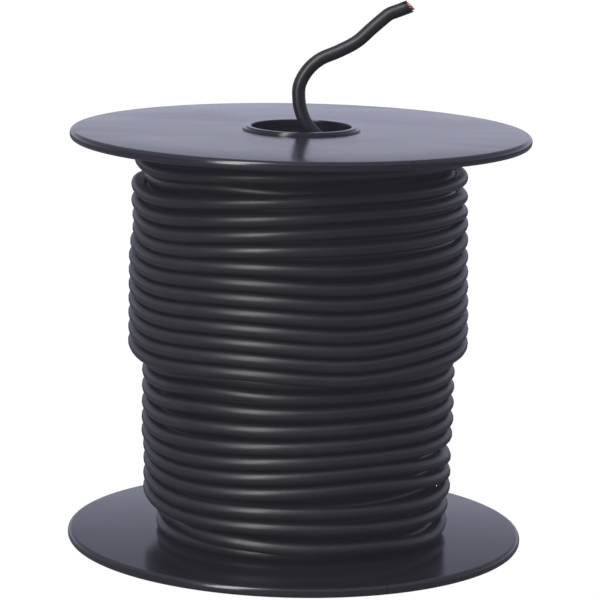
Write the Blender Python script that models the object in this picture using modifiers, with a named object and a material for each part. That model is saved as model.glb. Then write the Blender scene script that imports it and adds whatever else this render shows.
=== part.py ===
"""A wire spool: 100 ft of 12 AWG insulated copper wire on a black plastic spool, standing on its lower flange.

The spool is three mouldings. The barrel is a bore tube inside a drum, joined by ribs. Each flange has a
collar around the bore, which stands a little proud of its outer face. The bore tube ends in four snap
fingers, whose barbs sit in a groove under the collar and hold the flange. Keys on the flange sit between
the fingers, so that it turns with the barrel. The wire starts inside the bore, passes through a window in
the bore tube and a notch in the drum, and is wound on the drum. Its inner end stands out of the bore's top
as a free tail with bare strands at the cut.

Metres, +Z up along the spool's axis. The origin is the centre of the lower end, on the ground.
"""

import math

import bmesh
import bpy
from mathutils import Matrix, Vector

INCH = 0.0254
MM = 0.001

# Driving dimensions
FLANGE_RADIUS = 4.5 * INCH / 2
BORE_RADIUS = 1.0 * INCH / 2
DRUM_RADIUS = 1.5 * INCH / 2
OVERALL_HEIGHT = 4.125 * INCH
FLANGE_THICKNESS = 2.5 * MM
WIRE_RADIUS = 3.3 * MM / 2
GAP = 0.3 * MM  # between neighbouring pieces

# Flange
RIM_FILLET = 0.9 * MM
COLLAR_RADIUS = 14.7 * MM
COLLAR_RISE = 0.6 * MM  # over the flange's outer face
COLLAR_FILLET = 0.25 * MM
COLLAR_DEPTH = 0.7 * MM  # how far the collar's bore reaches below the outer face
GROOVE_RADIUS = 14.6 * MM
LIP_RADIUS = 13.7 * MM
LIP_THICKNESS = 0.6 * MM  # at the flange's inner face
KEY_WIDTH = 3.0 * MM
KEY_INNER_RADIUS = 13.05 * MM
KEY_OVERLAP = 0.8 * MM  # how far a key runs into the flange
KEY_INSET = 0.2 * MM  # how far a key stops short of the flange's inner face

# Barrel
BORE_TUBE_RADIUS = 14.7 * MM
NECK_RADIUS = 13.4 * MM
BARB_RADIUS = 14.3 * MM
BARB_THICKNESS = 0.6 * MM
DRUM_WALL = 1.8 * MM
RIB_THICKNESS = 1.6 * MM
RIB_COUNT = 8
RIB_END_INSET = 0.6 * MM
FINGER_COUNT = 4
FIRST_SLIT_ANGLE = math.radians(40)
SLIT_WIDTH = KEY_WIDTH + 2 * GAP
SLIT_DEPTH = 8.0 * MM  # from the collar's top
WINDOW_ANGLE = math.radians(2.5)
WINDOW_WIDTH = 5.2 * MM
WINDOW_BOTTOM = 96.4 * MM
WINDOW_TOP = 101.0 * MM
NOTCH_ANGLE = math.radians(-10.5)
NOTCH_WIDTH = 12.6 * MM  # lets the wire swing round into its first turn
NOTCH_INNER_RADIUS = 15.8 * MM
NOTCH_BOTTOM = 96.1 * MM

# Winding: outer radius of the last three layers, and where each stops
TOP_LAYER_RADIUS = 42.1 * MM
MIDDLE_LAYER_RADIUS = 38.8 * MM
LOWER_LAYER_RADIUS = 35.5 * MM
TOP_LAYER_END = 47.2 * MM
MIDDLE_LAYER_END = 8.2 * MM

# Tail: its centre line by hand, from the drum's notch to the cut end
TAIL_ROUTE = [
    Vector(point) * MM
    for point in (
        (17.63, -1.60, 98.6),
        (15.23, 0.24, 98.55),
        (12.27, 0.90, 98.75),
        (9.5, 0.85, 99.5),
        (6.6, 0.60, 100.9),
        (3.6, 0.25, 103.1),
        (1.25, 0.0, 105.8),
        (-0.1, 0.0, 108.8),
        (-0.75, 0.0, 112.0),
        (-0.6, 0.0, 115.5),
        (1.3, 0.0, 119.1),
        (4.4, 0.0, 121.9),
        (9.0, 0.0, 124.0),
        (13.3, 0.0, 126.4),
        (16.8, 0.0, 129.6),
        (21.0, 0.0, 133.25),
        (26.2, 0.0, 135.35),
    )
]
TAIL_POINTS_PER_SPAN = 2
STRAND_RADIUS = 0.228 * MM
STRAND_PITCH = 0.48 * MM  # between the centres of neighbouring strands
STRAND_LENGTH = 4.6 * MM
STRAND_BARE_LENGTH = 0.9 * MM
POCKET_RADIUS = 1.3 * MM

# Resolution
FLANGE_STEPS = 72
CORE_STEPS = 48  # for the barrel and the winding
FILLET_STEPS = 4
STRAND_SIDES = 8

LOWER_FACE = COLLAR_RISE
UPPER_FACE = OVERALL_HEIGHT - COLLAR_RISE
LOWER_SEAT = LOWER_FACE + FLANGE_THICKNESS
UPPER_SEAT = UPPER_FACE - FLANGE_THICKNESS
BARREL_BOTTOM = LOWER_FACE + COLLAR_DEPTH + GAP
BARREL_TOP = UPPER_FACE - COLLAR_DEPTH - GAP


def make_collection(name):
    collection = bpy.data.collections.new(name)
    bpy.context.scene.collection.children.link(collection)
    return collection


def make_material(name, color, roughness, metallic=0.0):
    material = bpy.data.materials.new(name)
    material.use_nodes = True
    shader = material.node_tree.nodes["Principled BSDF"]
    shader.inputs["Base Color"].default_value = (*color, 1.0)
    shader.inputs["Roughness"].default_value = roughness
    shader.inputs["Metallic"].default_value = metallic
    return material


def make_object(name, mesh, collection, material=None):
    piece = bpy.data.objects.new(name, mesh)
    collection.objects.link(piece)
    if material:
        mesh.materials.append(material)
    return piece


def make_cutter(name, mesh):
    piece = make_object(name, mesh, tools)
    piece.hide_render = True
    piece.display_type = "WIRE"
    return piece


def arc(center_r, center_z, radius, start, end, steps=FILLET_STEPS):
    """Points (r, z) along an arc, with its angles in degrees from the direction of growing r."""
    angles = [math.radians(start + (end - start) * i / steps) for i in range(steps + 1)]
    return [(center_r + radius * math.cos(a), center_z + radius * math.sin(a)) for a in angles]


def turned_mesh(name, profile):
    """A closed profile of (r, z) points, down its outer side first, to be swept by a Screw modifier."""
    mesh = bpy.data.meshes.new(name)
    count = len(profile)
    edges = [(i, (i + 1) % count) for i in range(count)]
    mesh.from_pydata([(r, 0.0, z) for r, z in profile], edges, [])
    return mesh


def add_turn(piece, steps):
    screw = piece.modifiers.new("turn", "SCREW")
    screw.steps = steps
    screw.render_steps = steps
    screw.use_merge_vertices = True
    screw.merge_threshold = 1e-5


def add_boolean(piece, cutter, operation):
    boolean = piece.modifiers.new(f"{operation.lower()}_{cutter.name}", "BOOLEAN")
    boolean.operation = operation
    boolean.solver = "EXACT"
    boolean.object = cutter


def box_mesh(name, low, high):
    """A box between two corners, moved there from a unit cube."""
    mesh = bpy.data.meshes.new(name)
    shape = bmesh.new()
    size = [b - a for a, b in zip(low, high)]
    middle = [(a + b) / 2 for a, b in zip(low, high)]
    place = Matrix.Translation(middle) @ Matrix.Diagonal((*size, 1.0))
    bmesh.ops.create_cube(shape, size=1.0, matrix=place)
    shape.to_mesh(mesh)
    shape.free()
    return mesh


def radial_box(name, angle, radii, width, heights):
    """A cutter or a block that reaches outwards from the axis at an angle."""
    mesh = box_mesh(name, (radii[0], -width / 2, heights[0]), (radii[1], width / 2, heights[1]))
    piece = make_cutter(name, mesh)
    piece.rotation_euler.z = angle
    return piece


def finger_angles():
    return [FIRST_SLIT_ANGLE + math.tau * i / FINGER_COUNT for i in range(FINGER_COUNT)]


def flange_profile():
    """The upper flange with its outer face at z = 0."""
    rim_r = FLANGE_RADIUS - RIM_FILLET
    low = -FLANGE_THICKNESS
    fillet = COLLAR_FILLET
    top = COLLAR_RISE
    return [
        *arc(BORE_RADIUS + fillet, top - fillet, fillet, 180, 90, 2),
        *arc(COLLAR_RADIUS - fillet, top - fillet, fillet, 90, 0, 2),
        (COLLAR_RADIUS, 0.0),
        *arc(rim_r, -RIM_FILLET, RIM_FILLET, 90, 0),
        *arc(rim_r, low + RIM_FILLET, RIM_FILLET, 0, -90),
        (LIP_RADIUS, low),
        (LIP_RADIUS, low + LIP_THICKNESS),
        (GROOVE_RADIUS, low + LIP_THICKNESS),
        (GROOVE_RADIUS, -COLLAR_DEPTH),
        (BORE_RADIUS, -COLLAR_DEPTH),
    ]


def make_flange(name, height, rotation):
    flange = make_object(name, turned_mesh(name, flange_profile()), spool, plastic)
    add_turn(flange, FLANGE_STEPS)
    radii = (KEY_INNER_RADIUS, GROOVE_RADIUS + KEY_OVERLAP)
    heights = (KEY_INSET - FLANGE_THICKNESS, KEY_INSET - COLLAR_DEPTH)
    for i, angle in enumerate(finger_angles()):
        key = radial_box(f"{name}_key_{i + 1}", angle, radii, KEY_WIDTH, heights)
        key.parent = flange
        add_boolean(flange, key, "UNION")
    flange.location.z = height
    flange.rotation_euler = rotation


def bore_tube_profile():
    shoulder = UPPER_SEAT - GAP
    low_shoulder = LOWER_SEAT + GAP
    return [
        (BORE_RADIUS, BARREL_TOP),
        (NECK_RADIUS, BARREL_TOP),
        (BARB_RADIUS, BARREL_TOP - BARB_THICKNESS / 2),
        (BARB_RADIUS, BARREL_TOP - BARB_THICKNESS),
        (NECK_RADIUS, BARREL_TOP - BARB_THICKNESS),
        (NECK_RADIUS, shoulder),
        (BORE_TUBE_RADIUS, shoulder),
        (BORE_TUBE_RADIUS, low_shoulder),
        (NECK_RADIUS, low_shoulder),
        (NECK_RADIUS, BARREL_BOTTOM + BARB_THICKNESS),
        (BARB_RADIUS, BARREL_BOTTOM + BARB_THICKNESS),
        (BARB_RADIUS, BARREL_BOTTOM + BARB_THICKNESS / 2),
        (NECK_RADIUS, BARREL_BOTTOM),
        (BORE_RADIUS, BARREL_BOTTOM),
    ]


def drum_profile():
    top = UPPER_SEAT - GAP
    low = LOWER_SEAT + GAP
    inner = DRUM_RADIUS - DRUM_WALL
    return [(DRUM_RADIUS, top), (DRUM_RADIUS, low), (inner, low), (inner, top)]


def make_barrel():
    barrel = make_object("barrel", turned_mesh("barrel", bore_tube_profile()), spool, plastic)
    add_turn(barrel, CORE_STEPS)

    drum = make_cutter("barrel_drum", turned_mesh("barrel_drum", drum_profile()))
    add_turn(drum, CORE_STEPS)

    # The ribs reach a little into both walls, and stop just inside their ends.
    bite = 0.4 * MM
    radii = (BORE_TUBE_RADIUS - bite, DRUM_RADIUS - DRUM_WALL + bite)
    heights = (LOWER_SEAT + GAP + RIB_END_INSET, UPPER_SEAT - GAP - RIB_END_INSET)
    for i in range(RIB_COUNT):
        angle = FIRST_SLIT_ANGLE + math.tau * (i + 0.5) / RIB_COUNT
        rib = radial_box(f"barrel_rib_{i + 1}", angle, radii, RIB_THICKNESS, heights)
        add_boolean(barrel, rib, "UNION")
    add_boolean(barrel, drum, "UNION")

    # The slits part the snap fingers at both ends.
    past = 2 * MM
    radii = (BORE_RADIUS - past, BORE_TUBE_RADIUS + bite)
    ends = {
        "lower": (-past, SLIT_DEPTH),
        "upper": (OVERALL_HEIGHT - SLIT_DEPTH, OVERALL_HEIGHT + past),
    }
    for end, heights in ends.items():
        for i, angle in enumerate(finger_angles()):
            slit = radial_box(f"barrel_{end}_slit_{i + 1}", angle, radii, SLIT_WIDTH, heights)
            add_boolean(barrel, slit, "DIFFERENCE")

    # The wire's way from the bore to the winding
    window = radial_box(
        "barrel_window",
        WINDOW_ANGLE,
        (BORE_RADIUS - past, BORE_TUBE_RADIUS + bite),
        WINDOW_WIDTH,
        (WINDOW_BOTTOM, WINDOW_TOP),
    )
    add_boolean(barrel, window, "DIFFERENCE")
    notch = radial_box(
        "barrel_notch",
        NOTCH_ANGLE,
        (NOTCH_INNER_RADIUS, DRUM_RADIUS + past),
        NOTCH_WIDTH,
        (NOTCH_BOTTOM, UPPER_SEAT + past),
    )
    add_boolean(barrel, notch, "DIFFERENCE")


def make_winding():
    """The outer shape of all the turns: full layers, and a last one that stops half way down."""
    top = UPPER_SEAT - GAP
    low = LOWER_SEAT + GAP
    wire = WIRE_RADIUS
    inner = DRUM_RADIUS + GAP
    profile = [
        *arc(TOP_LAYER_RADIUS - wire, top - wire, wire, 90, 0, 2),
        *arc(TOP_LAYER_RADIUS - wire, TOP_LAYER_END + wire, wire, 0, -90, 2),
        (MIDDLE_LAYER_RADIUS, TOP_LAYER_END),
        *arc(MIDDLE_LAYER_RADIUS - wire, MIDDLE_LAYER_END + wire, wire, 0, -90, 2),
        (LOWER_LAYER_RADIUS, MIDDLE_LAYER_END),
        *arc(LOWER_LAYER_RADIUS - wire, low + wire, wire, 0, -90, 2),
        (inner, low),
        (inner, top),
    ]
    winding = make_object("wire_winding", turned_mesh("wire_winding", profile), spool, pvc)
    add_turn(winding, CORE_STEPS)


def smooth_route(points, per_span):
    """Points along a Catmull-Rom curve through the route's own points."""
    ends = [2 * points[0] - points[1], *points, 2 * points[-1] - points[-2]]
    route = []
    for a, b, c, d in zip(ends, ends[1:], ends[2:], ends[3:]):
        for i in range(per_span):
            t = i / per_span
            bend = 2 * a - 5 * b + 4 * c - d
            twist = 3 * b - a - 3 * c + d
            route.append((2 * b + (c - a) * t + bend * t**2 + twist * t**3) / 2)
    return [*route, points[-1].copy()]


def tube_mesh(name, points, radius):
    """A tube along the points, made as a curve and turned into a closed mesh."""
    curve = bpy.data.curves.new(name, "CURVE")
    curve.dimensions = "3D"
    curve.bevel_depth = radius
    curve.bevel_resolution = 2
    curve.use_fill_caps = True
    spline = curve.splines.new("POLY")
    spline.points.add(len(points) - 1)
    for place, point in zip(spline.points, points):
        place.co = (*point, 1.0)
    guide = bpy.data.objects.new(name, curve)
    spool.objects.link(guide)
    depsgraph = bpy.context.evaluated_depsgraph_get()
    mesh = bpy.data.meshes.new_from_object(guide.evaluated_get(depsgraph))
    bpy.data.objects.remove(guide)
    shape = bmesh.new()
    shape.from_mesh(mesh)
    bmesh.ops.remove_doubles(shape, verts=shape.verts, dist=1e-6)
    bmesh.ops.recalc_face_normals(shape, faces=shape.faces)
    shape.to_mesh(mesh)
    shape.free()
    mesh.materials.clear()
    return mesh


def cylinder_mesh(name, radius, length, sides):
    """A cylinder from the origin up along +Z."""
    mesh = bpy.data.meshes.new(name)
    shape = bmesh.new()
    place = Matrix.Translation((0.0, 0.0, length / 2))
    bmesh.ops.create_cone(
        shape, cap_ends=True, segments=sides, radius1=radius, radius2=radius, depth=length, matrix=place
    )
    shape.to_mesh(mesh)
    shape.free()
    return mesh


def strand_places():
    """Centres of 19 strands: one in the middle, 6 around it and 12 around those."""
    places = [(0.0, 0.0)]
    for ring, radius in ((6, STRAND_PITCH), (12, 1.95 * STRAND_PITCH)):
        places += [
            (radius * math.cos(math.tau * i / ring), radius * math.sin(math.tau * i / ring))
            for i in range(ring)
        ]
    return places


def make_tail():
    route = smooth_route(TAIL_ROUTE, TAIL_POINTS_PER_SPAN)
    tail = make_object("tail_insulation", tube_mesh("tail_insulation", route, WIRE_RADIUS), spool, pvc)
    end = route[-1]
    direction = (route[-1] - route[-2]).normalized()
    turn = direction.to_track_quat("Z", "Y").to_matrix().to_4x4()

    buried = STRAND_LENGTH - STRAND_BARE_LENGTH
    pocket = make_cutter("tail_pocket", cylinder_mesh("tail_pocket", POCKET_RADIUS, 2 * buried, 24))
    pocket.matrix_world = Matrix.Translation(end - direction * (buried + GAP)) @ turn
    add_boolean(tail, pocket, "DIFFERENCE")

    strand = cylinder_mesh("strand", STRAND_RADIUS, STRAND_LENGTH, STRAND_SIDES)
    strand.materials.append(copper)
    foot = Matrix.Translation(end - direction * buried) @ turn
    for i, (x, y) in enumerate(strand_places()):
        piece = make_object(f"strand_{i + 1:02d}", strand, spool)
        piece.matrix_world = foot @ Matrix.Translation((x, y, 0.0))


for old in list(bpy.data.objects):
    bpy.data.objects.remove(old, do_unlink=True)

spool = make_collection("wire_spool")
tools = make_collection("cutters")
plastic = make_material("black_plastic", (0.016, 0.016, 0.019), 0.28)
pvc = make_material("black_pvc", (0.014, 0.014, 0.016), 0.42)
copper = make_material("copper", (0.62, 0.30, 0.17), 0.3, metallic=1.0)

make_barrel()
make_flange("upper_flange", UPPER_FACE, (0.0, 0.0, 0.0))
# The lower flange is the same moulding, turned over about a line through two of its keys.
make_flange("lower_flange", LOWER_FACE, (math.pi, 0.0, 2 * FIRST_SLIT_ANGLE))
make_winding()
make_tail()
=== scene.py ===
"""The looks of the wire spool: its wire wound turn by turn, its mouldings and their materials."""
import math

import bmesh
import bpy
import numpy as np
from mathutils import Matrix, Vector


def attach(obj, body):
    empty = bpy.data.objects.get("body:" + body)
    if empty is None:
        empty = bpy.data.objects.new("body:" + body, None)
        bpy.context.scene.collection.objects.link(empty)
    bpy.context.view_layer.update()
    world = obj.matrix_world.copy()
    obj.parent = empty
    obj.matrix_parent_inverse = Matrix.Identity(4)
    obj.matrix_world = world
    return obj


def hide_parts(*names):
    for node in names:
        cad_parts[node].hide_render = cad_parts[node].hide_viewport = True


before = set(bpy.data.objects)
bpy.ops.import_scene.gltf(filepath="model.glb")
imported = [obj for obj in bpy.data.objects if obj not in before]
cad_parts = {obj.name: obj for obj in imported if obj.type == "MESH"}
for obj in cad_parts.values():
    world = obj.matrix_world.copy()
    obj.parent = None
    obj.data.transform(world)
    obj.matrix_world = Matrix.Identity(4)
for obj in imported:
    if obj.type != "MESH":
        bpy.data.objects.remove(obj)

MM = 0.001
TUBE_SHARP = math.radians(50)  # edges sharper than these stay sharp
MOULDING_SHARP = math.radians(32)


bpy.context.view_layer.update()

# ---------------------------------------------------------------- camera

CAMERA_PLACE = (0.0, -0.71339, 0.19236)
CAMERA_DIP = 10.3986  # degrees below level
CAMERA_ROLL = 1.0923  # degrees
CAMERA_FIELD = 0.20621  # radians across the picture
CAMERA_SHIFT = 0.0033

camera_data = bpy.data.cameras.new("camera")
camera_data.sensor_fit = "HORIZONTAL"
camera_data.angle = CAMERA_FIELD
camera_data.shift_x = CAMERA_SHIFT
camera = bpy.data.objects.new("camera", camera_data)
bpy.context.scene.collection.objects.link(camera)
camera.matrix_world = (
    Matrix.Translation(CAMERA_PLACE)
    @ Matrix.Rotation(math.radians(90 - CAMERA_DIP), 4, "X")
    @ Matrix.Rotation(math.radians(CAMERA_ROLL), 4, "Z")
)
bpy.context.scene.camera = camera

# ---------------------------------------------------------------- the wire

# Lengths are in millimetres, apart from the wire's whole length, which is in metres.
WIRE_RADIUS = 1.65
WIRE_SIDES = 16
FIRST_RADIUS = 20.7  # of the first layer's centre line, which lies on the drum
LAYER_STEP = 3.3
TOP = 99.7  # centre of a turn beside the upper flange
BOTTOM = 4.9  # and beside the lower one
START_HEIGHT = 98.7  # of the first turn, in the drum's notch

# The wire runs clockwise seen from above. Azimuths are in degrees, 0 at the front and growing to the
# right. A turn is counted from its start at the right of the front, and its front ends at the left.
RIGHT = 64.0
LEFT = -64.0
FRONT_SHARE = (RIGHT - LEFT) / 360
RIGHT_SIDE = 90.0  # azimuths of the spool's outline, and how wide the turns' slack is there
LEFT_SIDE = -90.0
SIDE_WIDTH = 45.0
SEGMENTS = (24, 20, 20, 20, 48, 72, 80)  # a turn, by layer
CLIMB = 0.2  # turns taken by a climb to the next layer
LEVEL_START = 0.3  # turns for which a hidden layer stays level at its start
LEVEL_TURNS = 0.5  # and at both ends together

# How many turns each layer has, and at which turn it starts. The fifth ends at a whole turn, at the
# right of the front.
HIDDEN_TURNS = 25.1875  # in each of the first four layers
FIFTH_TURNS = 25.25
SIXTH_TURNS = 24
FIFTH_START = 4 * HIDDEN_TURNS
SIXTH_START = round(FIFTH_START + FIFTH_TURNS)
SEVENTH_START = SIXTH_START + SIXTH_TURNS

# The fifth layer comes down in steps, each in two stages: the share of the pitch that a stage comes
# down, and where in the step it starts and how long it is, in turns.
FIFTH_PITCH = 3.74
STEP_STAGES = ((0.6, 0.0, 0.07), (0.4, 0.15, 0.2))
STEP_LEAD = 0.18  # how long before the right of the front a step begins, in turns
FIFTH_SLACK_TURNS = 20  # the last turns of the layer, which stand off at the right

SIXTH_FIRST = 13.95  # height of the sixth layer's turn 1 at the left of the front
SIXTH_PITCH = 3.58
SEVENTH_FIRST = 90.0  # and of the seventh's turn 1, below its turn 0 beside the upper flange
SEVENTH_PITCH = 3.59
SEVENTH_TOP = 96.9
SEVENTH_TOP_LEAN = 1.2
SEVENTH_FIRST_CLIMB = 0.45  # how far the wire has climbed where the seventh layer starts, in layers

# Where the turns of the two outer layers rise and dip: azimuth and width
SIXTH_RISE_AT = (30, 28)
SIXTH_DIP_AT = (-38, 24)
SEVENTH_RISE_AT = (20, 26)
SEVENTH_DIP_AT = (-45, 22)
SAG_AT = (-58, 22)
LEFT_SAG = 0.85  # how much every one of them sags there
RIGHT_HANG_AT = (92, 22)  # where the lowest turns hang
SEVENTH_HANG_AT = (94, 18)
SEVENTH_LIFT_AT = (-94, 18)

LAST_TURN = 12  # of the seventh layer, counted from 0
END_AZIMUTH = -138.0  # of the wire's outer end
LAST_PART = (RIGHT - END_AZIMUTH) / 360  # how much of the last turn there is
END_TUCK = 3.5  # how far the end rises to lie under the turn before

# The turn that climbs from the fifth layer to the sixth: azimuths and heights
CLIMBING_TURN = [
    (64, 5.15),
    (50, 5.75),
    (35, 6.55),
    (0, 7.1),
    (-20, 7.9),
    (-35, 8.2),
    (-50, 8.7),
    (-66, 8.8),
    (-120, 8.64),
    (-190, 8.75),
    (-240, 9.7),
    (-296, 10.66),
]

# The tail's centre line, from its first bend inside the drum to the cut end, as in the CAD.
TAIL_ROUTE = [
    (17.63, -1.60, 98.6),
    (15.23, 0.24, 98.55),
    (12.27, 0.90, 98.75),
    (9.5, 0.85, 99.5),
    (6.6, 0.60, 100.9),
    (3.6, 0.25, 103.1),
    (1.25, 0.0, 105.8),
    (-0.1, 0.0, 108.8),
    (-0.75, 0.0, 112.0),
    (-0.6, 0.0, 115.5),
    (1.3, 0.0, 119.1),
    (4.4, 0.0, 121.9),
    (9.0, 0.0, 124.0),
    (13.3, 0.0, 126.4),
    (16.8, 0.0, 129.6),
    (19.6, 0.0, 132.1),
    (21.2, 0.0, 133.35),
    (23.2, 0.0, 134.15),
    (26.2, 0.0, 135.35),
]


def ease(t):
    """0 to 1 with flat ends."""
    t = np.clip(t, 0.0, 1.0)
    return t * t * (3 - 2 * t)


def bump(x, middle, width):
    """A bell of height 1."""
    return np.exp(-(((x - middle) / width) ** 2))


def around(degrees):
    """The angle brought to between -180 and 180 degrees."""
    return (degrees + 180) % 360 - 180


def near(azimuth, place):
    """A bell of height 1 at a place, which is an azimuth and a width, also across the back."""
    middle, width = place
    return bump(around(azimuth - middle), 0, width)


def sixth_heights(turn):
    """Heights of a turn of the sixth layer at the right and at the left of the front."""
    # From the sixth turn on they lie further apart.
    left = SIXTH_FIRST + SIXTH_PITCH * (turn - 1)
    left = left + 0.35 * np.maximum(0, turn - 6) - 0.12 * np.maximum(0, turn - 9)
    # The lowest turns settle on the climbing turn, and those round the sixth sag a little.
    low = ease((2.9 - turn) / 0.8)
    left = left - 0.35 * low - 0.3 * bump(turn, 6.5, 1.5)
    # The lowest turns fall to the right, and the upper ones rise a little.
    lean = -0.25 * low - 2.85 + 3.9 * ease((turn - 0.2) / 6.6) - 0.3 * np.clip(turn - 8, 0, 2)
    return left + lean, left


def sixth_sway(turn):
    """How much a turn of the sixth layer rises right of the front's middle, and dips left of it."""
    rise = 1.5 * bump(turn, 3.4, 0.9) + 0.45 * ease(turn - 4) + 0.4 * bump(turn, 3.5, 1.3)
    return rise, 0.85 - 0.5 * np.clip(turn - 5.2, 0, 3.6)


def seventh_heights(turn):
    """The same as sixth_heights for the seventh layer, whose first turns lean most."""
    left = SEVENTH_FIRST - SEVENTH_PITCH * (turn - 1)
    left = left + 0.3 * bump(turn, 1, 0.5) - 0.2 * bump(turn, 2.5, 0.8)
    left = np.where(turn < 1, SEVENTH_TOP, left)
    lean = np.where(turn < 1, SEVENTH_TOP_LEAN, 0.3 + 2.9 / (1 + np.exp((turn - 4.6) / 0.85)))
    return left + lean, left


def seventh_sway(turn):
    rise = 0.75 - 2.1 * ease((turn - 3) / 3) - 0.3 * ease((turn - 7.5) / 1.5)
    return rise, 0.3 + 0.55 * bump(turn, 3.3, 1.6)


def between(turn, part, heights, sway, rise_at, dip_at):
    """Height along a turn: across its front with a sway, and round its back to the next turn."""
    right, left = heights(turn)
    following = heights(turn + 1)[0]
    behind = ease((part - FRONT_SHARE) / (1 - FRONT_SHARE))
    front = right + (left - right) * part / FRONT_SHARE
    rise, dip = sway(turn + behind)
    azimuth = RIGHT - 360 * part
    swaying = rise * near(azimuth, rise_at) - dip * near(azimuth, dip_at)
    swaying = swaying - LEFT_SAG * near(azimuth, SAG_AT)
    return np.where(part < FRONT_SHARE, front, left + (following - left) * behind) + swaying


def smooth_through(keys, x):
    """A smooth curve through the keys, whose x falls."""
    kx, ky = np.array(keys, float).T
    slope = np.gradient(ky, kx)
    i = np.clip(np.searchsorted(-kx, -x, side="right") - 1, 0, len(kx) - 2)
    span = kx[i + 1] - kx[i]
    u = np.clip((x - kx[i]) / span, 0, 1)
    start = (1 + 2 * u) * (1 - u) ** 2 * ky[i] + u * (1 - u) ** 2 * span * slope[i]
    return start + u * u * (3 - 2 * u) * ky[i + 1] + u * u * (u - 1) * span * slope[i + 1]


def points_along(start, end, layer):
    """Where a stretch has its points, in turns. Its end is left to the next stretch."""
    count = round((end - start) * SEGMENTS[layer])
    return start + (end - start) * np.arange(count) / count


# Each of these gives a stretch of the winding: its points in turns, their radii and their heights.


def hidden_layer(layer, first, last):
    """One of the first four layers, from its first height to its last."""
    start = layer * HIDDEN_TURNS
    t = points_along(start, start + HIDDEN_TURNS, layer)
    climb = ease((t - start) / CLIMB) if layer else np.ones_like(t)
    share = np.clip((t - start - LEVEL_START) / (HIDDEN_TURNS - LEVEL_TURNS), 0, 1)
    return t, FIRST_RADIUS + LAYER_STEP * (layer - 1 + climb), first + (last - first) * share


def fifth_layer():
    """Down, in steps at its right. Its last turn but one comes down at the back too."""
    t = points_along(FIFTH_START, SIXTH_START, 4)
    turn, part = np.floor(t), t % 1
    azimuth = around(RIGHT - 360 * part)
    last = turn == SIXTH_START - 1
    step = np.minimum(np.floor(t + STEP_LEAD), SIXTH_START - 1)
    past_step = t + STEP_LEAD - step
    pitches = 1
    for share, begin, length in STEP_STAGES:
        pitches = pitches - share * ease((past_step - begin) / length)
    pitches = pitches + np.where(step < SIXTH_START - 1, SIXTH_START - step, 0)
    pitches = pitches - np.where(step == SIXTH_START - 2, ease((past_step - 0.7) / 0.3), 0)
    height = BOTTOM + FIFTH_PITCH * pitches
    # The last turn rises outwards at the end of its back, with a hump at the right. The last few turns
    # sink in at the left.
    height = height + np.where(last & (part > 0.7), 1.2 * bump(azimuth, *RIGHT_HANG_AT), 0)
    sunk = 0.6 * ease(turn - SIXTH_START + 4) * bump(azimuth, LEFT_SIDE, SIDE_WIDTH)
    rising = np.where(last, 0.95 * ease((part - 0.55) / 0.35), 0)
    loose = turn > SIXTH_START - FIFTH_SLACK_TURNS
    slack = 0.5 * bump(azimuth, RIGHT_SIDE, SIDE_WIDTH) * loose * (1 - rising) - sunk
    climb = ease((t - FIFTH_START) / CLIMB)
    radius = FIRST_RADIUS + LAYER_STEP * (3 + climb + rising) + slack
    return t, radius, np.clip(height, BOTTOM, TOP)


def climbing_turn():
    """It starts outside the fifth layer, crosses over that layer's last turn and sinks into the gap
    above it. At the back it climbs out again, to the sixth layer."""
    t = points_along(SIXTH_START, SIXTH_START + 1, 6)
    azimuth = RIGHT - 360 * (t - SIXTH_START)
    climb = 0.95 + 0.05 * ease((RIGHT - azimuth) / 30) - 1.14 * ease((-24 - azimuth) / 38)
    climb = climb + 0.14 * ease((-100 - azimuth) / 40) + ease((-165 - azimuth) / 75)
    return t, FIRST_RADIUS + LAYER_STEP * (4 + climb), smooth_through(CLIMBING_TURN, azimuth)


def sixth_layer():
    """Up. Its last turn passes over to the seventh layer at the back."""
    t = points_along(SIXTH_START + 1, SEVENTH_START, 5)
    turn, part = np.floor(t) - SIXTH_START, t % 1
    azimuth = around(RIGHT - 360 * t)
    count = t - SIXTH_START
    height = between(turn, part, sixth_heights, sixth_sway, SIXTH_RISE_AT, SIXTH_DIP_AT)
    last = turn == SIXTH_TURNS - 1
    over = np.where(last, ease((part - 0.5) / 0.4), 0)
    first_top = seventh_heights(np.array(0.0))[0]
    height = np.where(last & (part > FRONT_SHARE), height + (first_top - height) * over, height)
    # The lower turns sink in at the left, and the turns stand off more at the right from the fourth on.
    right_slack = 0.5 * ease(count - 1) + 0.35 * ease((count - 4) / 2)
    left_sunk = 0.55 * ease((5.5 - count) / 1.5)
    slack = right_slack * bump(azimuth, RIGHT_SIDE, SIDE_WIDTH)
    slack = slack - left_sunk * bump(azimuth, LEFT_SIDE, SIDE_WIDTH)
    # Two of the lower turns hang at the right.
    swell = 0.2 * bump(count, 1.93, 0.4) - 1.2 * bump(count, 2.93, 0.4) - 1.6 * bump(count, 3.93, 0.4)
    height = height + swell * bump(azimuth, *RIGHT_HANG_AT)
    return t, FIRST_RADIUS + LAYER_STEP * (5 + SEVENTH_FIRST_CLIMB * over) + slack * (count < 20), height


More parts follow.
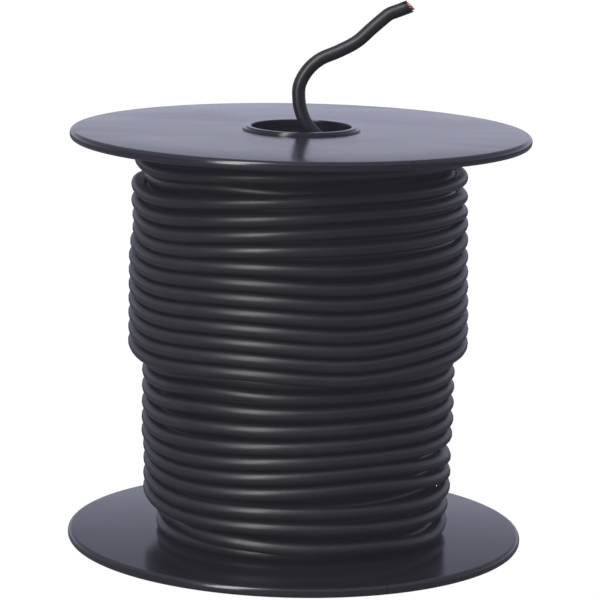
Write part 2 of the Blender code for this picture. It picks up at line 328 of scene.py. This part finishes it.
def seventh_layer():
    """Down, to the middle of the spool. The outer end is tucked up under the turn before."""
    t = points_along(SEVENTH_START, SEVENTH_START + LAST_TURN + LAST_PART, 6)
    turn, part = np.floor(t) - SEVENTH_START, t % 1
    count = turn + part
    azimuth = around(RIGHT - 360 * part)
    height = between(turn, part, seventh_heights, seventh_sway, SEVENTH_RISE_AT, SEVENTH_DIP_AT)
    lift = 0.5 + 0.45 * ease((count - 3.4) / 2)
    hang = 0.9 * ease((count - 3.2) / 1.2) - bump(count, 2.4, 1.0)
    height = height + lift * bump(azimuth, *SEVENTH_LIFT_AT)
    height = height + hang * bump(azimuth, *SEVENTH_HANG_AT)
    settle = SEVENTH_FIRST_CLIMB + 0.33 * ease(count / 0.36) + 0.22 * ease((count - 0.5) / 0.4)
    left_slack = 0.5 * ease((count - 4.5) / 2) - 0.45 * bump(count, 3.95, 0.9) - 0.25
    right_slack = np.clip(0.118 * count - 0.65, -0.65, 0.6)
    slack = left_slack * bump(azimuth, LEFT_SIDE, 50) + right_slack * bump(azimuth, RIGHT_SIDE, SIDE_WIDTH)
    tucked = END_TUCK * ease((count - LAST_TURN - LAST_PART) * 360 / 28 + 1)
    height = height + np.where(turn == LAST_TURN, tucked, 0)
    # The turn before passes over the end.
    past = (count - LAST_TURN - LAST_PART + 1) * 360  # degrees past where the outer end lies
    hump = ease((past + 36) / 20) * ease((24 - past) / 20)
    outwards = 5 + settle + np.where(turn == LAST_TURN - 1, hump, 0)
    return t, FIRST_RADIUS + LAYER_STEP * outwards + slack, height


def winding_path():
    """Points of the wound wire, in millimetres, from the drum's notch outwards."""
    stretches = [
        hidden_layer(0, START_HEIGHT, BOTTOM),
        hidden_layer(1, BOTTOM, TOP),
        hidden_layer(2, TOP, BOTTOM),
        hidden_layer(3, BOTTOM, TOP),
        fifth_layer(),
        climbing_turn(),
        sixth_layer(),
        seventh_layer(),
    ]
    turns, radii, heights = map(np.concatenate, zip(*stretches))
    angle = np.radians(RIGHT - 90 - 360 * turns)
    return np.stack([radii * np.cos(angle), radii * np.sin(angle), heights], 1)


def smooth_route(points, per_span):
    """Points along a Catmull-Rom curve through the route's own points."""
    points = np.array(points, float)
    ends = np.concatenate([[2 * points[0] - points[1]], points, [2 * points[-1] - points[-2]]])
    route = []
    for a, b, c, d in zip(ends, ends[1:], ends[2:], ends[3:]):
        for t in np.arange(per_span) / per_span:
            bend = 2 * a - 5 * b + 4 * c - d
            twist = 3 * b - a - 3 * c + d
            route.append((2 * b + (c - a) * t + bend * t**2 + twist * t**3) / 2)
    return np.array([*route, points[-1]])


# The last bend inside the drum, on to the first turn
BEND_CENTRE = (12.27, -6.1)
BEND_RADIUS = 7.0
BEND_HEIGHT = 98.65


def wire_path():
    """Points of the whole wire, in millimetres, from the bare end to the outer end."""
    tail = smooth_route(TAIL_ROUTE, 8)[::-1]
    x, y = BEND_CENTRE
    swing = np.radians(np.arange(32, 0, -8.0))
    bend = [(x + BEND_RADIUS * math.cos(a), y + BEND_RADIUS * math.sin(a), BEND_HEIGHT) for a in swing]
    return np.concatenate([tail, bend, winding_path()])


def tube(name, path, radius, sides, taper=None, slant=None):
    """A closed tube along the path, in metres. Its frames are carried along, so that it never twists.

    UVs run in metres along the tube and from 0 to 1 around it. taper gives each point's share of the
    radius, and slant how far the first end's points are moved along the path."""
    ahead = np.gradient(path, axis=0)
    ahead /= np.linalg.norm(ahead, axis=1, keepdims=True)
    side = np.cross(ahead[0], (1.0, 0.0, 0.0) if abs(ahead[0][2]) > 0.9 else (0.0, 0.0, 1.0))
    side /= np.linalg.norm(side)
    spokes = np.arange(sides) * math.tau / sides
    cos, sin = np.cos(spokes)[:, None], np.sin(spokes)[:, None]
    count = len(path)
    rings = np.empty((count, sides, 3))
    for i, (point, axis) in enumerate(zip(path, ahead)):
        side = side - axis * side.dot(axis)
        side /= math.sqrt(side.dot(side))
        size = radius if taper is None else radius * taper[i]
        rings[i] = point + size * (cos * side + sin * np.cross(axis, side))
    if slant:
        rings[0] += ahead[0] * slant(rings[0] - path[0])[:, None]
    ring, spoke = np.meshgrid(np.arange(count - 1), np.arange(sides), indexing="ij")
    a = ring * sides + spoke
    b = ring * sides + (spoke + 1) % sides
    quads = np.stack([a, b, b + sides, a + sides], -1).reshape(-1, 4)
    last = (count - 1) * sides
    caps = [list(range(sides))[::-1], list(range(last, last + sides))]
    mesh = bpy.data.meshes.new(name)
    mesh.from_pydata(rings.reshape(-1, 3).tolist(), [], quads.tolist() + caps)
    along = np.concatenate([[0], np.cumsum(np.linalg.norm(np.diff(path, axis=0), axis=1))])
    corners = np.stack([ring, ring, ring + 1, ring + 1], -1).reshape(-1)
    turned = np.stack([spoke, spoke + 1, spoke + 1, spoke], -1).reshape(-1) / sides
    uv = np.zeros((len(corners) + 2 * sides, 2), np.float32)
    uv[: len(corners)] = np.stack([along[corners], turned], -1)
    mesh.uv_layers.new(name="UVMap").data.foreach_set("uv", uv.reshape(-1))
    mesh.shade_smooth()
    mesh.set_sharp_from_angle(angle=TUBE_SHARP)
    return mesh


def make_piece(name, mesh, material, slot=None, replaces=()):
    """A piece of one material. With a slot it is part of the object, and rides on its one body."""
    piece = bpy.data.objects.new(name, mesh)
    bpy.context.scene.collection.objects.link(piece)
    mesh.materials.clear()
    mesh.materials.append(material)
    if slot:
        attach(piece, "root")
        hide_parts(*replaces)
    return piece


# ---------------------------------------------------------------- materials


class Graph:
    """Short calls for a material's nodes."""

    def __init__(self, name, color, roughness, metallic=0.0, ior=1.5):
        self.material = bpy.data.materials.new(name)
        self.material.use_nodes = True
        self.tree = self.material.node_tree
        self.shader = self.tree.nodes["Principled BSDF"]
        self.shader.inputs["Base Color"].default_value = (*color, 1)
        self.shader.inputs["Roughness"].default_value = roughness
        self.shader.inputs["Metallic"].default_value = metallic
        self.shader.inputs["IOR"].default_value = ior

    def node(self, kind, inputs=(), **settings):
        node = self.tree.nodes.new(kind)
        for key, value in settings.items():
            setattr(node, key, value)
        for key, value in dict(inputs).items():
            if isinstance(value, bpy.types.NodeSocket):
                self.tree.links.new(value, node.inputs[key])
            else:
                node.inputs[key].default_value = value
        return node

    def place(self, output="Object"):
        return self.node("ShaderNodeTexCoord").outputs[output]

    def stretched(self, vector, scale):
        mapping = self.node("ShaderNodeMapping", {"Vector": vector, "Scale": scale})
        return mapping.outputs["Vector"]

    def noise(self, vector, scale, detail=3.0, rough=0.5, distortion=0.0):
        inputs = {"Vector": vector, "Scale": scale, "Detail": detail}
        inputs.update({"Roughness": rough, "Distortion": distortion})
        return self.node("ShaderNodeTexNoise", inputs).outputs["Fac"]

    def ranged(self, value, low, high, to_low=0.0, to_high=1.0):
        inputs = {"Value": value, "From Min": low, "From Max": high}
        inputs.update({"To Min": to_low, "To Max": to_high})
        return self.node("ShaderNodeMapRange", inputs).outputs["Result"]

    def math(self, operation, a, b=0.0):
        return self.node("ShaderNodeMath", {0: a, 1: b}, operation=operation).outputs[0]

    def mix(self, factor, a, b):
        """Colour b over a, which may be a colour or a socket."""
        inputs = {"A": (*a, 1) if isinstance(a, tuple) else a, "B": (*b, 1)}
        node = self.tree.nodes.new("ShaderNodeMix")
        node.data_type = "RGBA"
        for socket in node.inputs:
            if socket.type == "RGBA" and socket.name in "AB":
                value = inputs[socket.name]
                if isinstance(value, bpy.types.NodeSocket):
                    self.tree.links.new(value, socket)
                else:
                    socket.default_value = value
        self.tree.links.new(factor, node.inputs[0])
        return next(o for o in node.outputs if o.type == "RGBA")

    def bump(self, height, distance, strength=1.0, normal=None):
        inputs = {"Height": height, "Distance": distance, "Strength": strength}
        if normal:
            inputs["Normal"] = normal
        return self.node("ShaderNodeBump", inputs).outputs["Normal"]

    def link(self, **inputs):
        for key, value in inputs.items():
            self.tree.links.new(value, self.shader.inputs[key.replace("_", " ")])
        return self.material


def pvc_material():
    """Satin extruded PVC: streaks along the wire, fine grain, rubbed patches and a few specks of dust."""
    black, grey, dusty = (0.0075, 0.0075, 0.009), (0.0125, 0.0125, 0.0145), (0.16, 0.16, 0.17)
    graph = Graph("black_pvc", black, 0.34)
    place, along = graph.place(), graph.place("UV")
    patches = graph.noise(place, 90, 4, 0.6)
    grain = graph.noise(place, 1900, 3, 0.6)
    streaks = graph.noise(graph.stretched(along, (45, 26, 1)), 1.0, 4, 0.6)
    specks = graph.noise(graph.stretched(along, (700, 7, 1)), 1.0, 2, 0.5)
    dust = graph.ranged(specks, 0.785, 0.81)
    rubbed = graph.ranged(patches, 0.5, 0.72)
    color = graph.mix(dust, graph.mix(rubbed, black, grey), dusty)
    patchy = graph.ranged(patches, 0.3, 0.7, 0.35, 0.43)
    rough = graph.math("ADD", patchy, graph.ranged(streaks, 0.3, 0.7, -0.03, 0.04))
    rough = graph.math("ADD", rough, graph.math("MULTIPLY", dust, 0.25))
    normal = graph.bump(streaks, 0.000012, 0.5)
    normal = graph.bump(grain, 0.00001, 0.2, normal)
    return graph.link(Base_Color=color, Roughness=rough, Normal=normal)


def plastic_material():
    """Moulded polystyrene: nearly flat, with smudges, hairline scuffs and a slight orange peel."""
    black, hazy, scuffed = (0.0075, 0.0075, 0.009), (0.012, 0.012, 0.014), (0.04, 0.04, 0.045)
    graph = Graph("black_plastic", black, 0.24, ior=1.55)
    place = graph.place()
    smudges = graph.noise(graph.stretched(place, (22, 60, 40)), 1.0, 4, 0.6, 0.6)
    peel = graph.noise(place, 230, 2, 0.5)
    grain = graph.noise(place, 2600, 2, 0.6)
    scuffs = graph.noise(graph.stretched(place, (260, 1500, 900)), 1.0, 3, 0.6, 0.4)
    lines = graph.ranged(scuffs, 0.66, 0.74)
    haze = graph.ranged(smudges, 0.38, 0.68)
    color = graph.mix(haze, black, hazy)
    color = graph.mix(graph.math("MULTIPLY", lines, 0.15), color, scuffed)
    hazed = graph.ranged(haze, 0, 1, 0.155, 0.205)
    rough = graph.math("ADD", hazed, graph.math("MULTIPLY", lines, 0.015))
    rough = graph.math("ADD", rough, graph.ranged(grain, 0.3, 0.7, -0.02, 0.02))
    normal = graph.bump(peel, 0.00004, 0.35)
    normal = graph.bump(grain, 0.00001, 0.5, normal)
    return graph.link(Base_Color=color, Roughness=rough, Normal=normal)


def copper_material():
    """Bare drawn copper, a little tarnished, with draw lines."""
    bright, tarnished = (0.80, 0.42, 0.27), (0.48, 0.22, 0.13)
    graph = Graph("copper", bright, 0.32, metallic=1.0)
    place = graph.place()
    tarnish = graph.noise(place, 1500, 3, 0.6)
    lines = graph.noise(graph.stretched(place, (2000, 9000, 9000)), 1.0, 2, 0.5)
    color = graph.mix(graph.ranged(tarnish, 0.4, 0.7), bright, tarnished)
    rough = graph.ranged(tarnish, 0.3, 0.7, 0.25, 0.42)
    return graph.link(Base_Color=color, Roughness=rough, Normal=graph.bump(lines, 0.00001, 0.5))


pvc = pvc_material()
plastic = plastic_material()
copper = copper_material()

# ---------------------------------------------------------------- wire and strands

CUT_SLOPE = 0.74  # of the insulation's cut, whose upper side lies furthest back
CUT_BACK = 0.8  # how far its middle lies behind the path's first point

STRAND_RADIUS = 0.232
STRAND_SIDES = 10
STRAND_POINTS = 12
STRAND_RINGS = ((6, 1.0), (12, 1.95))  # strands round the middle one, and their distance in pitches
STRAND_PITCH = 0.48
STRAND_LENGTH = 4.6
STRAND_LENGTHS = (-0.12, 0.08)  # how much shorter or longer a strand may be
STRAND_CUT_SLOPE = 0.5  # of their cut, which leaves the upper ones shorter
STRAND_SPLAY = 0.05  # how much further apart they are at the end
STRAND_BARE_LENGTH = 0.3  # past the path's first point
STRAND_TWIST = math.radians(50)


def cut_back(offsets):
    """How far the cut's edge lies back, for offsets from the wire's centre line, all in metres."""
    return offsets[:, 2] * CUT_SLOPE + CUT_BACK * MM


def strand_mesh(name, radius, angle, length):
    """A strand that winds round the wire's centre line, along Z. Its end splays out a little."""
    share = np.linspace(0, 1, STRAND_POINTS)
    angles = angle + STRAND_TWIST * share
    spread = radius * (1 + STRAND_SPLAY * ease((share - 0.8) / 0.2))
    line = np.stack([spread * np.cos(angles), spread * np.sin(angles), length * share], 1) * MM
    taper = np.where((share > 0.02) & (share < 0.98), 1.0, 0.8)
    return tube(name, line, STRAND_RADIUS * MM, STRAND_SIDES, taper)


path = wire_path() * MM
wire = make_piece(
    "wire",
    tube("wire", path, WIRE_RADIUS * MM, WIRE_SIDES, slant=cut_back),
    pvc,
    "black_pvc",
    ("wire_winding", "tail_insulation"),
)

tip = Vector(path[0])
outwards = (tip - Vector(path[1])).normalized()
turn_to_tip = outwards.to_track_quat("Z", "Y").to_matrix().to_4x4()
foot = tip - outwards * (STRAND_LENGTH - STRAND_BARE_LENGTH) * MM
strand_places = [(0.0, 0.0)]
for ring, distance in STRAND_RINGS:
    for i in range(ring):
        strand_places.append((distance * STRAND_PITCH, math.tau * i / ring))

draws = np.random.default_rng(12)
for i, (radius, angle) in enumerate(strand_places):
    end = angle + STRAND_TWIST
    side = turn_to_tip @ Vector((math.cos(end), math.sin(end), 0))
    length = STRAND_LENGTH + draws.uniform(*STRAND_LENGTHS) - STRAND_CUT_SLOPE * radius * side.z
    name = f"twisted_strand_{i + 1:02d}"
    mesh = strand_mesh(name, radius, angle, length)
    mesh.transform(Matrix.Translation(foot) @ turn_to_tip)
    make_piece(name, mesh, copper, "copper", (f"strand_{i + 1:02d}",))

# ---------------------------------------------------------------- mouldings

# Millimetres and degrees, as in the CAD
FLANGE_RADIUS = 57.15
BORE_RADIUS = 12.7
DRUM_RADIUS = 19.05
OVERALL_HEIGHT = 104.775
FLANGE_THICKNESS = 2.5
GAP = 0.3  # between pieces that touch in the real spool
RIM_FILLET = 1.1
COLLAR_RADIUS = 14.7
COLLAR_RISE = 0.6
COLLAR_FILLET = 0.25
COLLAR_DEPTH = 0.7
COLLAR_MOUTH_RADIUS = 12.45
COLLAR_STEP_RADIUS = 13.75
COLLAR_STEP = 0.35
COLLAR_STEP_FILLET = 0.15
COLLAR_FOOT = (0.1, 0.08)  # width and height of the slope at the collar's foot
CROWN_BREAK = (14.0, 0.12)  # distance from the rim's fillet, and the share of the crown reached there
UPPER_CROWN = 0.3  # how much the upper flange's face rises towards its collar
UPPER_COLLAR_EXTRA = 0.2
UPPER_TILT = (0.3, 0.12)  # about X and Y: the flanges sit a little out of true
LOWER_TILT = (0.0, 0.2)
NICK_DEPTH = 0.3
UPPER_NICK = (-63, 0.9, (-0.55, 1.0))  # angle, width and heights
LOWER_NICK = (147, 0.35, (-4, 1))
GROOVE_RADIUS = 14.6
LIP_RADIUS = 13.7
LIP_THICKNESS = 0.6
KEY_WIDTH = 3.0
KEY_INNER_RADIUS = 13.05
KEY_INSET = 0.2
KEY_BITE = 0.8
BORE_TUBE_RADIUS = 14.7
NECK_RADIUS = 13.4
BARB_RADIUS = 14.3
BARB_THICKNESS = 0.6
DRUM_WALL = 1.8
RIBS = 8
RIB_THICKNESS = 1.6
RIB_INSET = 0.6  # from the drum's ends
SLIT_ANGLES = (40, 130, 220, 310)
SLIT_DEPTH = 8.0
WINDOW = (2.5, 5.2, (96.4, 101.0))  # the bore tube's opening for the wire: angle, width and heights
NOTCH_ANGLE = -10.5  # of the drum's opening, by which the wire comes out
NOTCH_WIDTH = 12.6
NOTCH_RADIUS = 15.8
NOTCH_BOTTOM = 96.1
LOWER_FACE = COLLAR_RISE
UPPER_FACE = OVERALL_HEIGHT - COLLAR_RISE
LOWER_SEAT = LOWER_FACE + FLANGE_THICKNESS
UPPER_SEAT = UPPER_FACE - FLANGE_THICKNESS
BARREL_BOTTOM = LOWER_FACE + COLLAR_DEPTH + GAP
BARREL_TOP = UPPER_FACE - COLLAR_DEPTH - GAP
FINE_STEPS = 240  # round a turned shape
EDGE_WIDTH = 0.2  # of the barrel's broken edges
PAST = 2.0  # how far a cutter reaches past what it cuts
BITE = 0.4  # how far a rib reaches into the walls, and a cutter past the bore tube


def arc(center_r, center_z, radius, start, end, steps=6):
    angles = np.radians(np.linspace(start, end, steps + 1))
    return [(center_r + radius * math.cos(a), center_z + radius * math.sin(a)) for a in angles]


def turned(name, profile):
    """A ring of the closed profile, given in millimetres, its outer side going down."""
    angles = np.radians(np.linspace(0, 360, FINE_STEPS, endpoint=False))
    r, z = np.array(profile).T
    x, y = np.cos(angles)[:, None] * r, np.sin(angles)[:, None] * r
    points = np.stack([x, y, np.broadcast_to(z, x.shape)], -1)
    count, sides = x.shape
    i, j = np.meshgrid(np.arange(count), np.arange(sides), indexing="ij")
    a = i * sides + j
    b = i * sides + (j + 1) % sides
    c = (i + 1) % count * sides + (j + 1) % sides
    d = (i + 1) % count * sides + j
    quads = np.stack([a, b, c, d], -1).reshape(-1, 4)
    mesh = bpy.data.meshes.new(name)
    mesh.from_pydata((points.reshape(-1, 3) * MM).tolist(), [], quads.tolist())
    return mesh


def box_cutter(angle, radii, width, heights):
    """The mesh of a box that reaches outwards at an angle in degrees, between two radii in millimetres."""
    mesh = bpy.data.meshes.new("cutter")
    shape = bmesh.new()
    size = (radii[1] - radii[0], width, heights[1] - heights[0])
    middle = ((radii[0] + radii[1]) / 2, 0, (heights[0] + heights[1]) / 2)
    turn = Matrix.Rotation(math.radians(angle), 4, "Z")
    place = turn @ Matrix.Translation(Vector(middle) * MM) @ Matrix.Diagonal((*(Vector(size) * MM), 1))
    bmesh.ops.create_cube(shape, size=1.0, matrix=place)
    shape.to_mesh(mesh)
    shape.free()
    return mesh


def carved(mesh, steps, edge=0):
    """The mesh after a list of (operation, cutter mesh), its edges broken to a width in millimetres."""
    piece = bpy.data.objects.new("carving", mesh)
    bpy.context.scene.collection.objects.link(piece)
    cutters = []
    for operation, cutter_mesh in steps:
        cutter = bpy.data.objects.new("cutter", cutter_mesh)
        bpy.context.scene.collection.objects.link(cutter)
        cutters.append(cutter)
        boolean = piece.modifiers.new("cut", "BOOLEAN")
        boolean.operation = operation
        boolean.solver = "EXACT"
        boolean.object = cutter
    if edge:
        bevel = piece.modifiers.new("edges", "BEVEL")
        bevel.width = edge * MM
        bevel.segments = 1
        bevel.limit_method = "ANGLE"
        bevel.angle_limit = math.radians(60)
    depsgraph = bpy.context.evaluated_depsgraph_get()
    result = bpy.data.meshes.new_from_object(piece.evaluated_get(depsgraph))
    for spent in (piece, *cutters):
        bpy.data.objects.remove(spent)
    return result


def flange_profile(crown, extra):
    """Its face, at height 0, rises towards the collar by the crown. The collar is taller by the extra."""
    rim_r = FLANGE_RADIUS - RIM_FILLET
    low = -FLANGE_THICKNESS
    fillet, small = COLLAR_FILLET, COLLAR_STEP_FILLET
    top = COLLAR_RISE + crown + extra
    foot_width, foot_height = COLLAR_FOOT
    break_width, break_share = CROWN_BREAK
    return [
        *arc(COLLAR_MOUTH_RADIUS + fillet, top - fillet, fillet, 180, 90, 4),
        *arc(COLLAR_STEP_RADIUS - fillet, top - fillet, fillet, 90, 0, 4),
        (COLLAR_STEP_RADIUS, top - COLLAR_STEP),
        *arc(COLLAR_RADIUS - small, top - COLLAR_STEP - small, small, 90, 0, 4),
        (COLLAR_RADIUS, crown + foot_height),
        (COLLAR_RADIUS + foot_width, crown),
        (rim_r - break_width, break_share * crown),
        *arc(rim_r, -RIM_FILLET, RIM_FILLET, 90, 0, 8),
        *arc(rim_r, low + RIM_FILLET, RIM_FILLET, 0, -90, 8),
        (LIP_RADIUS, low),
        (LIP_RADIUS, low + LIP_THICKNESS),
        (GROOVE_RADIUS, low + LIP_THICKNESS),
        (GROOVE_RADIUS, -COLLAR_DEPTH),
        (BORE_RADIUS, -COLLAR_DEPTH),
    ]


def flange_mesh(crown, extra, nick):
    """A flange, its outer face up, with keys round its mouth and a nick in its rim at the parting line."""
    nick_angle, nick_width, nick_heights = nick
    nick_radii = (FLANGE_RADIUS - NICK_DEPTH, FLANGE_RADIUS + PAST)
    steps = [("DIFFERENCE", box_cutter(nick_angle, nick_radii, nick_width, nick_heights))]
    key_radii = (KEY_INNER_RADIUS, GROOVE_RADIUS + KEY_BITE)
    key_heights = (KEY_INSET - FLANGE_THICKNESS, KEY_INSET - COLLAR_DEPTH)
    for angle in SLIT_ANGLES:
        steps.append(("UNION", box_cutter(angle, key_radii, KEY_WIDTH, key_heights)))
    return carved(turned("flange", flange_profile(crown, extra)), steps)


def barrel_mesh():
    """The bore tube with its snap fingers, and the drum on its ribs round it."""
    top = UPPER_SEAT - GAP
    low = LOWER_SEAT + GAP
    bore_tube = [
        (BORE_RADIUS, BARREL_TOP),
        (NECK_RADIUS, BARREL_TOP),
        (BARB_RADIUS, BARREL_TOP - BARB_THICKNESS / 2),
        (BARB_RADIUS, BARREL_TOP - BARB_THICKNESS),
        (NECK_RADIUS, BARREL_TOP - BARB_THICKNESS),
        (NECK_RADIUS, top),
        (BORE_TUBE_RADIUS, top),
        (BORE_TUBE_RADIUS, low),
        (NECK_RADIUS, low),
        (NECK_RADIUS, BARREL_BOTTOM + BARB_THICKNESS),
        (BARB_RADIUS, BARREL_BOTTOM + BARB_THICKNESS),
        (BARB_RADIUS, BARREL_BOTTOM + BARB_THICKNESS / 2),
        (NECK_RADIUS, BARREL_BOTTOM),
        (BORE_RADIUS, BARREL_BOTTOM),
    ]
    inner = DRUM_RADIUS - DRUM_WALL
    drum = [(DRUM_RADIUS, top), (DRUM_RADIUS, low), (inner, low), (inner, top)]
    rib_radii = (BORE_TUBE_RADIUS - BITE, inner + BITE)
    rib_heights = (low + RIB_INSET, top - RIB_INSET)
    through_tube = (BORE_RADIUS - PAST, BORE_TUBE_RADIUS + BITE)
    slit_width = KEY_WIDTH + 2 * GAP
    steps = []
    for i in range(RIBS):
        angle = SLIT_ANGLES[0] + 360 / RIBS * (i + 0.5)
        steps.append(("UNION", box_cutter(angle, rib_radii, RIB_THICKNESS, rib_heights)))
    steps.append(("UNION", turned("drum", drum)))
    for heights in ((-PAST, SLIT_DEPTH), (OVERALL_HEIGHT - SLIT_DEPTH, OVERALL_HEIGHT + PAST)):
        for angle in SLIT_ANGLES:
            steps.append(("DIFFERENCE", box_cutter(angle, through_tube, slit_width, heights)))
    window_angle, window_width, window_heights = WINDOW
    window = box_cutter(window_angle, through_tube, window_width, window_heights)
    notch_radii = (NOTCH_RADIUS, DRUM_RADIUS + PAST)
    notch = box_cutter(NOTCH_ANGLE, notch_radii, NOTCH_WIDTH, (NOTCH_BOTTOM, UPPER_SEAT + PAST))
    steps += [("DIFFERENCE", window), ("DIFFERENCE", notch)]
    return carved(turned("barrel", bore_tube), steps, EDGE_WIDTH)


def tilted(about_x, about_y):
    about_x, about_y = math.radians(about_x), math.radians(about_y)
    return Matrix.Rotation(about_x, 4, "X") @ Matrix.Rotation(about_y, 4, "Y")


def finished(mesh, place=None):
    """The mesh at its place, smooth between its sharp edges."""
    if place:
        mesh.transform(place)
    mesh.shade_smooth()
    mesh.set_sharp_from_angle(angle=MOULDING_SHARP)
    return mesh


upper_place = Matrix.Translation((0, 0, UPPER_FACE * MM)) @ tilted(*UPPER_TILT)
# The lower flange is turned over, and then round, so that its keys meet the slits again.
lower_place = (
    Matrix.Translation((0, 0, LOWER_FACE * MM))
    @ tilted(*LOWER_TILT)
    @ Matrix.Rotation(math.radians(2 * SLIT_ANGLES[0]), 4, "Z")
    @ Matrix.Rotation(math.pi, 4, "X")
)
upper = finished(flange_mesh(UPPER_CROWN, UPPER_COLLAR_EXTRA, UPPER_NICK), upper_place)
lower = finished(flange_mesh(0.0, 0.0, LOWER_NICK), lower_place)
make_piece("upper_moulding", upper, plastic, "black_plastic", ("upper_flange",))
make_piece("lower_moulding", lower, plastic, "black_plastic", ("lower_flange",))
make_piece("barrel_moulding", finished(barrel_mesh()), plastic, "black_plastic", ("barrel",))

# ---------------------------------------------------------------- stage and light

# The picture is plain sRGB, with the faint veil that a white surround lays over dark parts.
VEIL = (0.0135, 0.0130, 0.0170)
view = bpy.context.scene.view_settings
view.view_transform = "Standard"
view.use_curve_mapping = True
view.curve_mapping.black_level = [-v for v in VEIL]
view.curve_mapping.update()

# A bright backdrop stands behind the object, a little to the right. Along its axis a direction passes
# from the front's light at the first number of the range to the backdrop's at the second.
BACKDROP_AXIS = (0.2, 0.98, 0.0)
BACKDROP_RANGE = (-0.5, 0.72)
# Between a direction's first two heights, the light changes from the third number to the fourth.
BACKDROP_LIGHT = (0.16, 0.30, 0.88, 0.40)
FRONT_LIGHT = (-0.1, 0.8, 0.045, 0.6)
SKY_COLOR = (0.765, 0.79, 1.0)
FLOOR_GLOW = 1.08  # what the camera sees of the floor is mostly this, so that it is white
FLOOR_GLOW_SHARE = 0.93
FLOOR_RADIUS = 4.0
SPOOL_MIDDLE = (0, 0, 0.055)


def studio_world():
    """White to look at. It lights the object from a bright backdrop, and dimly from the front."""
    world = bpy.data.worlds.new("studio")
    bpy.context.scene.world = world
    world.use_nodes = True
    tree = world.node_tree

    def ramp(value, low, high, to_low, to_high):
        node = tree.nodes.new("ShaderNodeMapRange")
        node.interpolation_type = "SMOOTHSTEP"
        for key, number in zip(("From Min", "From Max", "To Min", "To Max"), (low, high, to_low, to_high)):
            node.inputs[key].default_value = number
        tree.links.new(value, node.inputs["Value"])
        return node.outputs["Result"]

    direction = tree.nodes.new("ShaderNodeTexCoord").outputs["Generated"]
    parts = tree.nodes.new("ShaderNodeSeparateXYZ")
    tree.links.new(direction, parts.inputs[0])
    behind = tree.nodes.new("ShaderNodeVectorMath")
    behind.operation = "DOT_PRODUCT"
    behind.inputs[1].default_value = BACKDROP_AXIS
    tree.links.new(direction, behind.inputs[0])
    strength = tree.nodes.new("ShaderNodeMix")
    tree.links.new(ramp(behind.outputs["Value"], *BACKDROP_RANGE, 0.0, 1.0), strength.inputs["Factor"])
    tree.links.new(ramp(parts.outputs["Z"], *FRONT_LIGHT), strength.inputs["A"])
    tree.links.new(ramp(parts.outputs["Z"], *BACKDROP_LIGHT), strength.inputs["B"])
    background = tree.nodes["Background"]
    background.inputs["Color"].default_value = (*SKY_COLOR, 1)
    tree.links.new(strength.outputs["Result"], background.inputs["Strength"])
    white = tree.nodes.new("ShaderNodeBackground")
    white.inputs["Color"].default_value = (1, 1, 1, 1)
    looks = tree.nodes.new("ShaderNodeMixShader")
    camera_ray = tree.nodes.new("ShaderNodeLightPath").outputs["Is Camera Ray"]
    tree.links.new(camera_ray, looks.inputs[0])
    tree.links.new(background.outputs[0], looks.inputs[1])
    tree.links.new(white.outputs[0], looks.inputs[2])
    tree.links.new(looks.outputs[0], tree.nodes["World Output"].inputs["Surface"])


def floor_material():
    """A pale floor, white where nothing shades it."""
    graph = Graph("floor", (0.22, 0.22, 0.225), 0.7)
    glow = graph.node("ShaderNodeEmission", {"Color": (1, 1, 1, 1), "Strength": FLOOR_GLOW})
    camera_ray = graph.node("ShaderNodeLightPath").outputs["Is Camera Ray"]
    share = graph.math("MULTIPLY", camera_ray, FLOOR_GLOW_SHARE)
    looks = graph.node("ShaderNodeMixShader", {0: share, 1: graph.shader.outputs[0], 2: glow.outputs[0]})
    graph.tree.links.new(looks.outputs[0], graph.tree.nodes["Material Output"].inputs["Surface"])
    return graph.material


def soft_box(name, azimuth, elevation, distance, size, power):
    """A white area light that faces the spool's middle, in degrees, metres and watts."""
    data = bpy.data.lights.new(name, "AREA")
    data.shape = "RECTANGLE"
    data.size, data.size_y = size
    data.energy = power
    light = bpy.data.objects.new(name, data)
    bpy.context.scene.collection.objects.link(light)
    a, e = math.radians(azimuth), math.radians(elevation)
    back = Vector((math.sin(a) * math.cos(e), -math.cos(a) * math.cos(e), math.sin(e)))
    light.location = Vector(SPOOL_MIDDLE) + back * distance
    light.rotation_euler = back.to_track_quat("Z", "Y").to_euler()


studio_world()
soft_box("key", azimuth=-34, elevation=32, distance=1.6, size=(0.42, 2.0), power=25.5)

floor_mesh = bpy.data.meshes.new("floor")
shape = bmesh.new()
bmesh.ops.create_circle(shape, cap_ends=True, segments=96, radius=FLOOR_RADIUS)
shape.to_mesh(floor_mesh)
shape.free()
floor = make_piece("floor", floor_mesh, floor_material())
